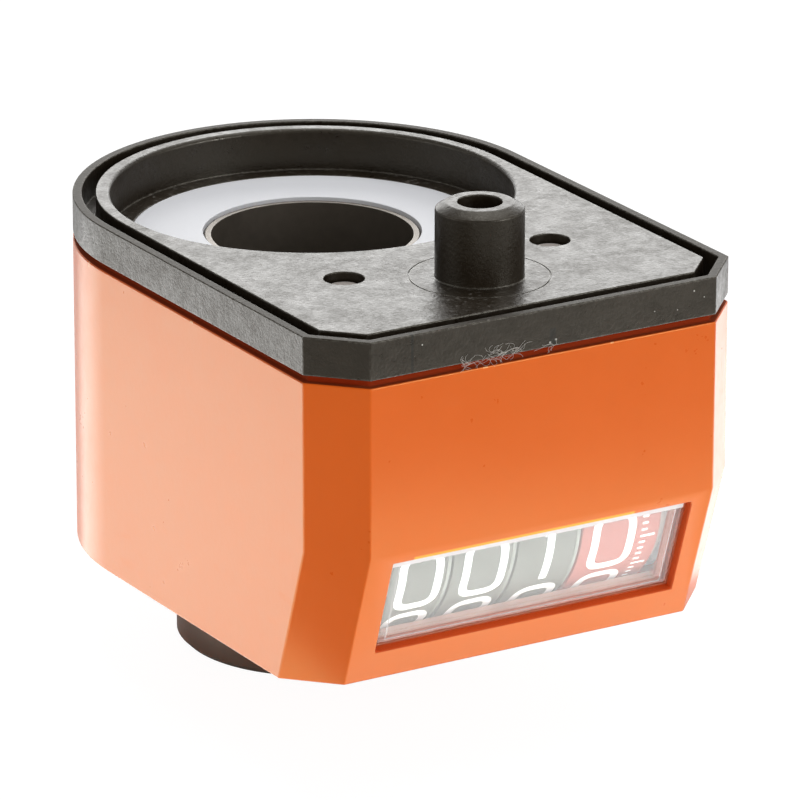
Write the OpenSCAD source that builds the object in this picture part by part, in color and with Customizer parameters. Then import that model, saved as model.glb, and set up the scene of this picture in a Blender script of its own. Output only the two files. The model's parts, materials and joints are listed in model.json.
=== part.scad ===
// Hollow-shaft mechanical position indicator with four number drums.
// The origin is on the bore axis, at the end face of the clamping collar.
// Z points to the rear face, and the window looks to minus Y.

/* [Case] */
// Half the width of the case, and the radius of its half-round rear
case_r = 16.5; // [16.4:0.1:18]
// Distance from the bore axis to the front face
front_reach = 30.3; // [30.2:0.1:31.5]
// Width of each front corner chamfer
corner_w = 3.15; // [2.4:0.05:3.4]
// Length of each front corner chamfer along the side
corner_l = 3.3; // [2.4:0.05:3.5]
// Slant of the lower front face, in degrees
slant_angle = 18.78; // [18:0.01:19.6]
// Wall thickness of the case
wall = 1.6; // [1.3:0.05:1.65]
// Thickness of the case floor
floor_t = 0.9; // [0.8:0.05:1]
// Height of the bearing boss on the case floor
boss_h = 2.8; // [1.5:0.1:5]
// Wall thickness of the bearing boss
boss_t = 1.7; // [1:0.1:2.2]
// Height of the dark reveal between case and base
reveal_h = 0.5; // [0.3:0.05:0.8]
// Depth of the reveal behind the outer faces
reveal_in = 0.5; // [0.3:0.05:0.8]

/* [Window] */
// Distance of the window opening from the corner chamfers
window_side = 1.75; // [1.5:0.05:2.1]
// Distance of the opening below the bend
window_top = 0.9; // [0.8:0.05:1.2]
// Distance of the opening from the foot of the slanted face
window_foot = 2.36; // [2.2:0.02:2.8]
// Shift of the opening to the right of the bore axis
window_x = 0.2; // [0:0.05:0.4]
// Depth of the pane behind the slanted face
pane_in = 0.45; // [0.4:0.05:0.5]
// Thickness of the pane
pane_t = 0.65; // [0.5:0.05:0.7]
// Width of the pane's flange behind the wall
flange_w = 0.45; // [0.4:0.05:0.5]
// Thickness of the pane's flange
flange_t = 0.4; // [0.3:0.05:0.5]

/* [Base] */
// Height of the base's outer band
band_h = 2.65; // [2.5:0.05:3.2]
// Thickness of the raised rim
rim_t = 0.65; // [0.5:0.05:0.8]
// Distance from the outer face to the plateau
plateau_in = 1.6; // [1.5:0.05:1.8]
// Depth of the groove between rim and plateau
groove_depth = 1.9; // [1:0.1:2]
// Thickness of the base plate
plate_t = 3; // [2.8:0.05:3.1]
// Depth of the spigot inside the case, from the rear face
spigot_depth = 4.4; // [4.2:0.05:4.5]
// Thickness of the spigot wall
spigot_t = 1.1; // [0.8:0.05:1.3]
// Width of the plateau between the recess and the groove
lip_w = 1; // [0.8:0.05:1.3]
// Width of the ledge in the recess
ledge_w = 1.4; // [1.2:0.05:1.6]
// Bevel round the top of the recess
recess_bevel = 0.2; // [0.1:0.05:0.3]
// Distance of each peg hole from the centre line
peg_x = 8.05; // [7.8:0.05:8.4]
// Distance of the peg holes from the bore axis, towards the window
peg_y = 17.95; // [17.6:0.05:18.3]
// Radius of the peg holes
peg_hole_r = 1.375; // [1.3:0.025:1.6]

/* [Torque pin] */
// Distance of the torque pin from the bore axis
pin_reach = 22; // [21.5:0.1:22.5]
// Radius of the torque pin
pin_r = 3; // [2.5:0.1:3.2]
// Height of the torque pin above the rear face
pin_h = 5.15; // [4:0.05:6.5]
// Width of the bevel at the pin's end
pin_bevel_w = 0.75; // [0.3:0.05:0.9]
// Height of the bevel at the pin's end
pin_bevel_h = 0.45; // [0.3:0.05:0.9]
// Radius of the blind hole in the pin
pin_hole_r = 1.5; // [1:0.1:1.6]
// Depth of the blind hole in the pin
pin_hole_depth = 4; // [2:0.1:5]
// Radius of the witness ring round the pin
witness_r = 4.8; // [4.5:0.05:5.2]
// Width of the witness ring's groove
witness_w = 0.1; // [0.08:0.01:0.2]
// Depth of the witness ring's groove
witness_depth = 0.06; // [0.04:0.01:0.1]

/* [Hollow shaft] */
// Radius of the bore
bore_r = 7; // [6:0.1:7.1]
// Wall thickness of the sleeve
sleeve_t = 0.5; // [0.4:0.05:0.6]
// Width of the clamping collar round the sleeve
collar_w = 2.1; // [1.8:0.1:2.6]
// Height of the clamping collar
collar_h = 7.2; // [5.5:0.1:7.4]
// Depth of the sleeve's end below the rear face
sleeve_in = 3.2; // [3.1:0.05:3.4]
// Bevel on the collar's edges
collar_bevel = 0.4; // [0.2:0.05:0.6]
// Bevel on the sleeve's end
sleeve_bevel = 0.12; // [0.05:0.01:0.2]
// Space between the collar and the case
collar_gap = 0.3; // [0.2:0.05:0.6]
// Depth of the retaining ring's groove in the sleeve
ring_groove_depth = 0.2; // [0.1:0.05:0.25]
// Thickness of the retaining ring
ring_t = 0.8; // [0.6:0.05:1]
// Width of the retaining ring
ring_w = 1.3; // [1:0.05:1.6]
// Opening angle of the retaining ring
ring_opening = 40; // [20:1:60]
// Radius of the set screw
screw_r = 2; // [1.5:0.1:2.5]
// Length of the set screw
screw_l = 2.2; // [1.8:0.1:2.4]
// Width across the flats of the set screw's socket
screw_socket = 2; // [1.5:0.1:2.5]
// Depth of the set screw's socket
screw_socket_depth = 1.2; // [0.8:0.1:1.5]

/* [Seal and rear bearing] */
// Thickness of the shaft seal's cord
seal_t = 1.3; // [1:0.05:1.4]
// Space between the shaft seal and the sleeve
seal_gap = 0.1; // [0.05:0.01:0.2]
// Thickness of the rear bearing ring
bearing_t = 1.43; // [1.2:0.01:1.6]

/* [Gears] */
// Height of the gear's pitch circle above the sleeve
gear_rise = 1.7; // [1.6:0.05:1.8]
// Teeth of the gear on the hollow shaft
drive_gear_teeth = 20; // [20:1:20]
// Width of the gear on the hollow shaft
drive_gear_w = 2.6; // [2:0.1:3]
// Step from the tooth roots of that gear down to its hub
drive_hub_step = 0.3; // [0.2:0.05:0.4]
// Pitch radius of the helical pinion
helical_pinion_r = 1.8; // [1.75:0.05:1.85]
// Teeth of the helical pinion
helical_pinion_teeth = 6; // [6:1:6]
// Width of the helical pinion
helical_pinion_w = 5; // [4:0.1:6]
// Space between the helical pinion and the number drums
pinion_gap = 1; // [0.9:0.05:1.2]
// Space between the helical pinion and the base above it
pinion_top_gap = 1.275; // [1:0.025:1.4]
// Radius of the cross shaft
cross_shaft_r = 0.75; // [0.6:0.05:0.8]
// Teeth of the spur pinion
spur_pinion_teeth = 18; // [18:1:18]
// Teeth of the counter gear
counter_gear_teeth = 30; // [30:1:30]
// Width of the spur gears
spur_w = 1; // [0.8:0.05:1.1]
// Space between the right cheek and the spur gears
spur_gap = 0.55; // [0.4:0.05:0.7]
// Space between the spur gears and the base's spigot
spur_side_gap = 0.64; // [0.5:0.02:0.8]

/* [Counter] */
// Shift of the number drums to the right of the bore axis
counter_x = -1; // [-1.1:0.05:-0.9]
// Space between the sleeve and the number drums
drum_space = 3.9; // [3.6:0.05:4.2]
// Space between the number drums and the case floor
drum_floor_gap = 0.1; // [0.1:0.05:0.2]
// Depth of the counter axle below the bend
axle_drop = 0.6; // [0.4:0.05:0.7]
// Space between two number drums
drum_gap = 0.5; // [0.4:0.02:0.6]
// Extra width of the last drum for its graduation
scale_w = 1.65; // [1.5:0.05:1.75]
// Distance from the drums to the slanted face
drum_in = 1.35; // [1.3:0.05:1.5]
// Thickness of a drum's rim at the root of its teeth
drum_rim = 1; // [0.8:0.05:1.2]
// Thickness of a drum's web
drum_web = 0.6; // [0.5:0.05:0.8]
// Radius of the counter axle
axle_r = 1; // [0.8:0.05:1.1]
// Thickness of the transfer plates
transfer_plate_t = 0.3; // [0.2:0.02:0.34]
// Length of a transfer pinion's toothed end
transfer_tooth_w = 1; // [0.8:0.05:1.2]
// Thickness of the counter frame's cheeks
cheek_t = 1; // [0.8:0.05:1.1]
// Step from the drums' surface down to the edge of the cheeks
cheek_step = 0.8; // [0.75:0.05:0.9]
// Step from the drums' surface down to the edge of the transfer plates
plate_step = 0.1; // [0.1:0.05:0.2]
// Thickness of the counter frame's bridge
bridge_t = 1.4; // [1.2:0.05:1.6]
// Space between the bridge and the recess's wall behind it
bridge_gap = 0.2; // [0.15:0.05:0.3]

/* [Fits] */
// Radial clearance of a running fit
running_fit = 0.05; // [0.03:0.01:0.07]
// Clearance between moulded parts that sit in each other
seat_fit = 0.05; // [0.02:0.01:0.08]

/* [Hidden] */
$fn = 96;

// How far a cut runs past the surface that it opens
overrun = 0.5;
// Sides of the faces that only trim the case, longer than the case in every direction
trim_span = 2 * front_reach;

// Hollow shaft and the gear on it
sleeve_r = bore_r + sleeve_t;
collar_r = sleeve_r + collar_w;
drive_gear_r = sleeve_r + gear_rise;

// The drums fill the depth between the sleeve and the slanted face
slant_share = 1 / cos(slant_angle);
drum_set = (drum_in + axle_drop * sin(slant_angle)) * slant_share;
drum_r = (front_reach - sleeve_r - drum_space - drum_set) / (1 + slant_share);
axle_y = -(sleeve_r + drum_space + drum_r);
cheek_r = drum_r - cheek_step;
transfer_plate_r = drum_r - plate_step;

// The counter and its spur gears fill the width between the spigot's walls
spur_end_x = case_r - wall - seat_fit - spigot_t - spur_side_gap;
spur_x = spur_end_x - spur_w;
cheek_gap = 2 * running_fit;
right_cheek_x = spur_x - spur_gap - cheek_t;
drum_half_w = right_cheek_x - cheek_gap - scale_w - counter_x;
left_cheek_x = counter_x - drum_half_w - cheek_gap - cheek_t;
drum_pitch = (drum_half_w + drum_gap / 2) / 2;
drum_w = drum_pitch - drum_gap;

// Crossed helical pair at right angles: both have the same hand
helix_tan = drive_gear_r * helical_pinion_teeth / (helical_pinion_r * drive_gear_teeth);
helix_module = 2 * drive_gear_r * cos(atan(helix_tan)) / drive_gear_teeth;
helix_tip_share = 0.85;
helix_root_share = 1.15;
helical_pinion_tip_r = helical_pinion_r + helix_module * helix_tip_share;
drive_gear_twist = drive_gear_w * helix_tan / drive_gear_r * 180 / PI;
helical_pinion_twist = helical_pinion_w / helix_tan / helical_pinion_r * 180 / PI;

// Heights above the collar's end face
case_low = collar_h + collar_gap;
floor_top = case_low + floor_t;
axle_z = floor_top + drum_floor_gap + drum_r;
bend_z = axle_z + axle_drop;
cross_y = -(drive_gear_r + helical_pinion_r);
cross_reach = drum_r + pinion_gap + helical_pinion_tip_r;
cross_z = axle_z + sqrt(pow(cross_reach, 2) - pow(cross_y - axle_y, 2));
spigot_low = cross_z + helical_pinion_tip_r + pinion_top_gap;
bearing_low = spigot_low;
rear_z = spigot_low + spigot_depth;
plate_low = rear_z - plate_t;
band_low = rear_z - band_h;
case_top = band_low - reveal_h;
sleeve_top = rear_z - sleeve_in;

// Slanted face, the turn and slope of its corner chamfers, and the window in it
slant_h = bend_z - case_low;
corner_turn = atan(corner_l / corner_w);
corner_slope = atan(cos(corner_turn) * tan(slant_angle));
window_w = 2 * (case_r - corner_w - window_side);
window_h = slant_h * slant_share - window_top - window_foot;

// Base
plateau_r = case_r - plateau_in;
recess_r = plateau_r - lip_w;
bearing_r = recess_r - ledge_w;
ledge_boss_r = recess_r + lip_w / 2;
peg_share = 0.8;
peg_r = peg_hole_r * peg_share;
peg_h = plate_t * peg_share;

// Counter frame
bridge_low = plate_low - bridge_t;
bridge_front = axle_y - drum_r / 2;
bridge_rear = -(ledge_boss_r + bridge_gap);
tail_w = cheek_r;
tail_depth = bridge_t / 2;

// Spur gears
spur_distance = norm([cross_y - axle_y, cross_z - axle_z]);
spur_turn = atan2(cross_y - axle_y, axle_z - cross_z);
spur_teeth_sum = spur_pinion_teeth + counter_gear_teeth;
spur_pinion_r = spur_distance * spur_pinion_teeth / spur_teeth_sum;
counter_gear_r = spur_distance * counter_gear_teeth / spur_teeth_sum;
spur_module = 2 * spur_distance / spur_teeth_sum;
spur_tooth_h_share = 0.8;
spur_root_share = 1.25;

// Transfer pinions and the inner teeth of the drums
inner_teeth = 20;
transfer_teeth = 6;
inner_root_r = drum_r - drum_rim;
inner_tooth_share = 0.1267;
transfer_reach_share = 0.6533;
drum_hub_share = 0.533;
inner_tooth_h = inner_root_r * inner_tooth_share;
transfer_reach = inner_root_r * transfer_reach_share;
transfer_tip_r = inner_root_r - transfer_reach - 4 * running_fit;
transfer_root_r = transfer_tip_r - inner_tooth_h;
transfer_journal_r = transfer_tip_r + 3 * running_fit;
drum_hub_r = axle_r + (transfer_reach - transfer_tip_r - axle_r) * drum_hub_share;
carry_gap = 2 * running_fit;

// Share of one tooth pitch that a tooth fills at its root, its pitch line and its tip
spur_tooth_shares = [0.64, 0.45, 0.22];
drive_tooth_shares = [0.5, 0.38, 0.22];
helical_pinion_tooth_shares = [0.5, 0.38, 0.22];
transfer_tooth_shares = [0.44, 0.3, 0.12];
inner_space_shares = [0.44, 0.6, 0.8];

// Outline of a gear: for each tooth, its left flank upwards and its right flank down
function gear_points(teeth, radii, shares) = [
    for (tooth = [0 : teeth - 1])
        for (step = [0 : 5])
            let (level = step < 3 ? step : 5 - step)
            let (side = step < 3 ? -1 : 1)
            let (angle = (tooth + side * shares[level] / 2) * 360 / teeth)
            radii[level] * [cos(angle), sin(angle)]
];

// Share of a corner chamfer that is left when the outline moves inwards
function corner_share(inset) =
    1 + inset * (norm([corner_w, corner_l]) - corner_w - corner_l) / (corner_w * corner_l);

function front_points(inset) =
    let (half_w = case_r - inset)
    let (reach = front_reach - inset)
    let (cut_w = corner_w * corner_share(inset))
    let (cut_l = corner_l * corner_share(inset))
    [
        [half_w, 0], [-half_w, 0], [-half_w, cut_l - reach],
        [cut_w - half_w, -reach], [half_w - cut_w, -reach], [half_w, cut_l - reach]
    ];

// Upright prism with a half-round rear and a chamfered front
module d_prism(inset, low, high) {
    translate([0, 0, low]) {
        cylinder(h = high - low, r = case_r - inset);
        linear_extrude(high - low) polygon(front_points(inset));
    }
}

// Everything in front of a plane that stands back by the inset
module front_space(inset) {
    translate([-trim_span, inset - trim_span, -trim_span])
        cube([2 * trim_span, trim_span, 2 * trim_span]);
}

// The case's form: below the bend its front and both chamfers lean back
module case_form(inset, low, high) {
    difference() {
        d_prism(inset, low, high);
        on_slant() front_space(inset);
        for (side = [0, 1]) {
            mirror([side, 0, 0])
                translate([case_r - corner_w, -front_reach, bend_z])
                    rotate([0, 0, corner_turn])
                        rotate([corner_slope, 0, 0])
                            front_space(inset);
        }
    }
}

// Places children on the slanted face: X to the right, Y inwards, Z up the slope
module on_slant() {
    translate([0, -front_reach, bend_z])
        rotate([slant_angle, 0, 0])
            children();
}

// A box in the slanted face's directions, with the window opening's outline grown by a margin
module window_box(margin, from_depth, to_depth) {
    on_slant()
        translate([window_x - window_w / 2 - margin, from_depth, -window_top - window_h - margin])
            cube([window_w + 2 * margin, to_depth - from_depth, window_h + 2 * margin]);
}

// Places children with their Z axis along X, at the counter axle
module at_axle(x) {
    translate([x, axle_y, axle_z])
        rotate([0, 90, 0])
            children();
}

// The same at the cross shaft
module at_cross_shaft(x) {
    translate([x, cross_y, cross_z])
        rotate([0, 90, 0])
            children();
}

module case() {
    color("orangered")
    difference() {
        union() {
            difference() {
                union() {
                    case_form(0, case_low, case_top);
                    d_prism(reveal_in, case_top - overrun, band_low);
                }
                case_form(wall, floor_top, band_low + overrun);
            }
            translate([0, 0, case_low])
                cylinder(h = floor_t + boss_h, r = sleeve_r + running_fit + boss_t);
        }
        translate([0, 0, case_low - overrun])
            cylinder(h = floor_t + boss_h + 2 * overrun, r = sleeve_r + running_fit);
        // Seat of the shaft seal, open to the collar
        translate([0, 0, case_low - overrun])
            cylinder(h = seal_t + overrun, r = sleeve_r + seal_gap + seal_t + seat_fit);
        window_box(0, -overrun, wall + overrun);
    }
}

module base() {
    color([0.16, 0.15, 0.14])
    difference() {
        union() {
            d_prism(0, band_low, rear_z);
            difference() {
                d_prism(wall + seat_fit, spigot_low, band_low);
                difference() {
                    d_prism(wall + seat_fit + spigot_t, spigot_low - overrun, plate_low);
                    translate([0, 0, spigot_low - 2 * overrun])
                        cylinder(h = spigot_depth, r = ledge_boss_r);
                }
            }
            translate([0, -pin_reach, rear_z - overrun])
                cylinder(h = pin_h + overrun - pin_bevel_h, r = pin_r);
            translate([0, -pin_reach, rear_z + pin_h - pin_bevel_h])
                cylinder(h = pin_bevel_h, r1 = pin_r, r2 = pin_r - pin_bevel_w);
        }
        difference() {
            d_prism(rim_t, rear_z - groove_depth, rear_z + overrun);
            d_prism(plateau_in, rear_z - groove_depth - overrun, rear_z + 2 * overrun);
            translate([0, -pin_reach, rear_z - groove_depth])
                cylinder(h = groove_depth + 2 * overrun, r = pin_r);
        }
        // Recess round the shaft, with the rear bearing's seat below it
        translate([0, 0, spigot_low + bearing_t])
            cylinder(h = spigot_depth, r = recess_r);
        translate([0, 0, rear_z - recess_bevel])
            cylinder(h = 2 * recess_bevel, r1 = recess_r, r2 = recess_r + 2 * recess_bevel);
        translate([0, 0, spigot_low - overrun])
            cylinder(h = spigot_depth, r = bearing_r);
        // Peg holes, blind hole and witness ring of the torque pin
        for (side = [-1, 1]) {
            translate([side * peg_x, -peg_y, plate_low - overrun])
                cylinder(h = plate_t + 2 * overrun, r = peg_hole_r);
        }
        translate([0, -pin_reach, rear_z + pin_h - pin_hole_depth])
            cylinder(h = pin_hole_depth + overrun, r = pin_hole_r);
        translate([0, -pin_reach, rear_z - witness_depth])
            difference() {
                cylinder(h = 2 * witness_depth, r = witness_r);
                cylinder(h = 2 * witness_depth, r = witness_r - witness_w);
            }
        // Relief for the spur pinion
        at_cross_shaft(spur_x - spur_gap / 2)
            cylinder(h = spur_w + spur_gap, r = spur_pinion_r + 2 * spur_module);
    }
}

module window() {
    color([0.85, 0.92, 0.92, 0.5])
    union() {
        window_box(-seat_fit, pane_in, pane_in + pane_t);
        difference() {
            union() {
                window_box(-seat_fit, pane_in, wall + flange_t);
                window_box(flange_w, wall, wall + flange_t);
            }
            window_box(-flange_w, pane_in - overrun, wall + flange_t + overrun);
            // No flange along the upper edge, where the drums pass
            on_slant()
                translate([-trim_span, wall - seat_fit, -window_top - flange_w - seat_fit])
                    cube([2 * trim_span, trim_span, trim_span]);
        }
    }
}

module rear_bearing_ring() {
    color("white")
    translate([0, 0, bearing_low])
        difference() {
            cylinder(h = bearing_t, r = bearing_r);
            translate([0, 0, -overrun])
                cylinder(h = bearing_t + 2 * overrun, r = sleeve_r + running_fit);
        }
}

module shaft_seal() {
    color([0.1, 0.1, 0.1])
    translate([0, 0, case_low + seal_t / 2])
        rotate_extrude()
            translate([sleeve_r + seal_gap + seal_t / 2, 0])
                circle(d = seal_t, $fn = 32);
}

// Side of the counter frame: an eye for both shafts with an arm up to the bridge
module cheek(x) {
    eye_rear = cross_y + 2 * cross_shaft_r;
    at_axle(x) cylinder(h = cheek_t, r = cheek_r);
    translate([x, bridge_front, axle_z])
        cube([cheek_t, bridge_rear - bridge_front, plate_low - axle_z]);
    translate([x, bridge_rear - overrun, axle_z])
        cube([cheek_t, eye_rear - bridge_rear + overrun, spigot_low - seat_fit - axle_z]);
}

module counter_frame() {
    color([0.55, 0.55, 0.53])
    difference() {
        union() {
            cheek(left_cheek_x);
            cheek(right_cheek_x);
            translate([left_cheek_x, bridge_front, bridge_low])
                cube([right_cheek_x + cheek_t - left_cheek_x, bridge_rear - bridge_front, bridge_t]);
            for (side = [-1, 1]) {
                translate([side * peg_x, -peg_y, plate_low - bridge_t])
                    cylinder(h = bridge_t + peg_h, r = peg_r);
            }
        }
        at_axle(left_cheek_x - overrun)
            cylinder(h = 2 * trim_span, r = axle_r + running_fit);
        at_cross_shaft(left_cheek_x - overrun)
            cylinder(h = 2 * trim_span, r = cross_shaft_r + running_fit);
        for (index = [1 : 3]) {
            slot_t = transfer_plate_t + 2 * seat_fit;
            slot_w = tail_w + 2 * seat_fit;
            translate([transfer_x(index) - slot_t / 2, axle_y - slot_w / 2, bridge_low - overrun])
                cube([slot_t, slot_w, tail_depth + overrun]);
        }
    }
}

// Place along X of a transfer plate, counted from the last drum
function transfer_x(index) = counter_x + (2 - index) * drum_pitch;

// Plate between two drums: its tail sits in the bridge, and its upper hole carries a pinion
module transfer_plate(index) {
    color([0.3, 0.3, 0.3])
    difference() {
        union() {
            at_axle(transfer_x(index) - transfer_plate_t / 2)
                cylinder(h = transfer_plate_t, r = transfer_plate_r);
            translate([transfer_x(index) - transfer_plate_t / 2, axle_y - tail_w / 2, axle_z])
                cube([transfer_plate_t, tail_w, bridge_low + tail_depth - axle_z]);
        }
        at_axle(transfer_x(index) - transfer_plate_t)
            cylinder(h = 2 * transfer_plate_t, r = axle_r + running_fit);
        translate([0, 0, transfer_reach])
            at_axle(transfer_x(index) - transfer_plate_t)
                cylinder(h = 2 * transfer_plate_t, r = transfer_journal_r + running_fit);
    }
}

// A pinion with a round waist that turns in the transfer plate
module transfer_pinion(index) {
    radii = [transfer_root_r, transfer_root_r + inner_tooth_h / 2, transfer_tip_r];
    length = drum_gap + 2 * transfer_tooth_w;
    color("ivory")
    translate([0, 0, transfer_reach])
        at_axle(transfer_x(index) - length / 2) {
            linear_extrude(length)
                polygon(gear_points(transfer_teeth, radii, transfer_tooth_shares));
            translate([0, 0, (length - transfer_plate_t) / 2])
                cylinder(h = transfer_plate_t, r = transfer_journal_r);
        }
}

module hollow_shaft() {
    ring_low = floor_top + boss_h + running_fit;
    groove_r = sleeve_r - ring_groove_depth;
    color([0.2, 0.19, 0.18])
    difference() {
        rotate_extrude()
            polygon([
                [bore_r, 0], [collar_r - collar_bevel, 0], [collar_r, collar_bevel],
                [collar_r, collar_h - collar_bevel], [collar_r - collar_bevel, collar_h],
                [sleeve_r, collar_h], [sleeve_r, ring_low], [groove_r, ring_low],
                [groove_r, ring_low + ring_t], [sleeve_r, ring_low + ring_t],
                [sleeve_r, sleeve_top - sleeve_bevel], [sleeve_r - sleeve_bevel, sleeve_top],
                [bore_r, sleeve_top]
            ]);
        translate([0, 0, collar_h / 2])
            rotate([-90, 0, 0])
                cylinder(h = collar_r + overrun, r = screw_r + seat_fit);
    }
}

module set_screw() {
    tip = bore_r + seat_fit;
    color([0.25, 0.25, 0.26])
    translate([0, tip, collar_h / 2])
        rotate([-90, 0, 0])
            difference() {
                cylinder(h = screw_l, r = screw_r);
                translate([0, 0, screw_l - screw_socket_depth])
                    cylinder(h = screw_socket_depth + overrun, r = screw_socket / sqrt(3), $fn = 6);
            }
}

module retaining_ring() {
    ring_low = floor_top + boss_h + running_fit;
    color("silver")
    translate([0, 0, ring_low])
        difference() {
            cylinder(h = ring_t, r = sleeve_r - ring_groove_depth + ring_w);
            translate([0, 0, -overrun])
                cylinder(h = ring_t + 2 * overrun, r = sleeve_r - ring_groove_depth);
            translate([0, 0, -overrun])
                linear_extrude(ring_t + 2 * overrun)
                    polygon([
                        [0, 0],
                        2 * sleeve_r * [cos(ring_opening / 2), sin(ring_opening / 2)],
                        2 * sleeve_r * [cos(ring_opening / 2), -sin(ring_opening / 2)]
                    ]);
        }
}

module drive_gear() {
    root_r = drive_gear_r - helix_module * helix_root_share;
    radii = [root_r, drive_gear_r, drive_gear_r + helix_module * helix_tip_share];
    hub_low = cross_z - drive_gear_w;
    hub_high = bearing_low - collar_gap;
    color("ivory")
    difference() {
        union() {
            translate([0, 0, cross_z])
                rotate([0, 0, drive_gear_twist / 2 - 90])
                    linear_extrude(drive_gear_w, twist = drive_gear_twist, slices = 8, center = true)
                        polygon(gear_points(drive_gear_teeth, radii, drive_tooth_shares));
            translate([0, 0, hub_low])
                cylinder(h = hub_high - hub_low, r = root_r - drive_hub_step);
        }
        translate([0, 0, hub_low - overrun])
            cylinder(h = hub_high - hub_low + 2 * overrun, r = sleeve_r);
    }
}

module helical_pinion() {
    root_r = helical_pinion_r - helix_module * helix_root_share;
    radii = [root_r, helical_pinion_r, helical_pinion_tip_r];
    half_pitch = 180 / helical_pinion_teeth;
    color("ivory")
    at_cross_shaft(0)
        difference() {
            rotate([0, 0, helical_pinion_twist / 2 + 90 + half_pitch])
                linear_extrude(helical_pinion_w, twist = helical_pinion_twist, slices = 12, center = true)
                    polygon(gear_points(helical_pinion_teeth, radii, helical_pinion_tooth_shares));
            translate([0, 0, -helical_pinion_w])
                cylinder(h = 2 * helical_pinion_w, r = cross_shaft_r);
        }
}

module cross_shaft() {
    shaft_end = spur_end_x + running_fit;
    color("silver")
    at_cross_shaft(left_cheek_x)
        cylinder(h = shaft_end - left_cheek_x, r = cross_shaft_r);
}

// Radii at a spur gear's root, pitch line and tip
function spur_radii(pitch_r) =
    [pitch_r - spur_module * spur_root_share, pitch_r, pitch_r + spur_module * spur_tooth_h_share];

module spur_pinion() {
    half_pitch = 180 / spur_pinion_teeth;
    color("ivory")
    at_cross_shaft(spur_x)
        difference() {
            rotate([0, 0, spur_turn + 180 + half_pitch])
                linear_extrude(spur_w)
                    polygon(gear_points(spur_pinion_teeth, spur_radii(spur_pinion_r), spur_tooth_shares));
            translate([0, 0, -overrun])
                cylinder(h = spur_w + 2 * overrun, r = cross_shaft_r);
        }
}

module counter_gear() {
    color("ivory")
    at_axle(spur_x)
        difference() {
            rotate([0, 0, spur_turn])
                linear_extrude(spur_w)
                    polygon(gear_points(counter_gear_teeth, spur_radii(counter_gear_r), spur_tooth_shares));
            translate([0, 0, -overrun])
                cylinder(h = spur_w + 2 * overrun, r = axle_r);
        }
}

module counter_axle() {
    axle_end = spur_end_x + running_fit;
    color("silver")
    at_axle(left_cheek_x)
        cylinder(h = axle_end - left_cheek_x, r = axle_r);
}

// A number drum, counted from the right: rim, web and hub. All but the last have
// inner teeth in the right side, and all but the first have carry teeth in the left.
module drum(index, bore, width) {
    left = transfer_x(index) + drum_gap / 2;
    web_x = (drum_w - drum_web) / 2;
    space_radii = [
        inner_root_r - inner_tooth_h, inner_root_r - inner_tooth_h / 2, inner_root_r
    ];
    at_axle(left)
        difference() {
            cylinder(h = width, r = drum_r);
            translate([0, 0, -overrun])
                cylinder(h = width + 2 * overrun, r = bore);
            // Left side, facing the next higher drum
            difference() {
                translate([0, 0, -overrun])
                    cylinder(h = web_x + overrun, r = inner_root_r);
                translate([0, 0, -2 * overrun])
                    cylinder(h = width, r = drum_hub_r);
                if (index < 4) {
                    carry_teeth(web_x);
                }
            }
            // Right side, facing the next lower drum
            translate([0, 0, web_x + drum_web])
                difference() {
                    if (index > 1) {
                        linear_extrude(width)
                            polygon(gear_points(inner_teeth, space_radii, inner_space_shares));
                    } else {
                        cylinder(h = width, r = inner_root_r);
                    }
                    translate([0, 0, -overrun])
                        cylinder(h = 2 * width, r = drum_hub_r);
                }
        }
}

// Two teeth that carry to the next drum, behind the pinion's end by the carry gap
module carry_teeth(web_x) {
    start = transfer_tooth_w + carry_gap;
    for (tooth = [1, 2]) {
        rotate([0, 0, 180 + tooth * 360 / inner_teeth])
            translate([inner_root_r - inner_tooth_h, -inner_tooth_h / 4, start])
                cube([inner_tooth_h + overrun, inner_tooth_h / 2, web_x - start + overrun]);
    }
}

module drum_1() {
    color([0.85, 0.2, 0.2]) drum(1, axle_r, drum_w + scale_w);
}

module dark_drum(index) {
    color([0.2, 0.2, 0.2]) drum(index, axle_r + running_fit, drum_w);
}

case();
base();
window();
rear_bearing_ring();
shaft_seal();
counter_frame();
transfer_plate(1);  // transfer_plate_1
transfer_plate(2);  // transfer_plate_2
transfer_plate(3);  // transfer_plate_3
hollow_shaft();
set_screw();
drive_gear();
retaining_ring();
cross_shaft();
helical_pinion();
spur_pinion();
counter_axle();
counter_gear();
drum_1();
dark_drum(2);  // drum_2
dark_drum(3);  // drum_3
dark_drum(4);  // drum_4
transfer_pinion(1);  // transfer_pinion_1
transfer_pinion(2);  // transfer_pinion_2
transfer_pinion(3);  // transfer_pinion_3
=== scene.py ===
"""Looks of a hollow-shaft mechanical position indicator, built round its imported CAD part."""

import json
import math
import random

import bmesh
import bpy
from bpy.props import FloatProperty, FloatVectorProperty, IntProperty, PointerProperty
from mathutils import Matrix, Vector


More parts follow.
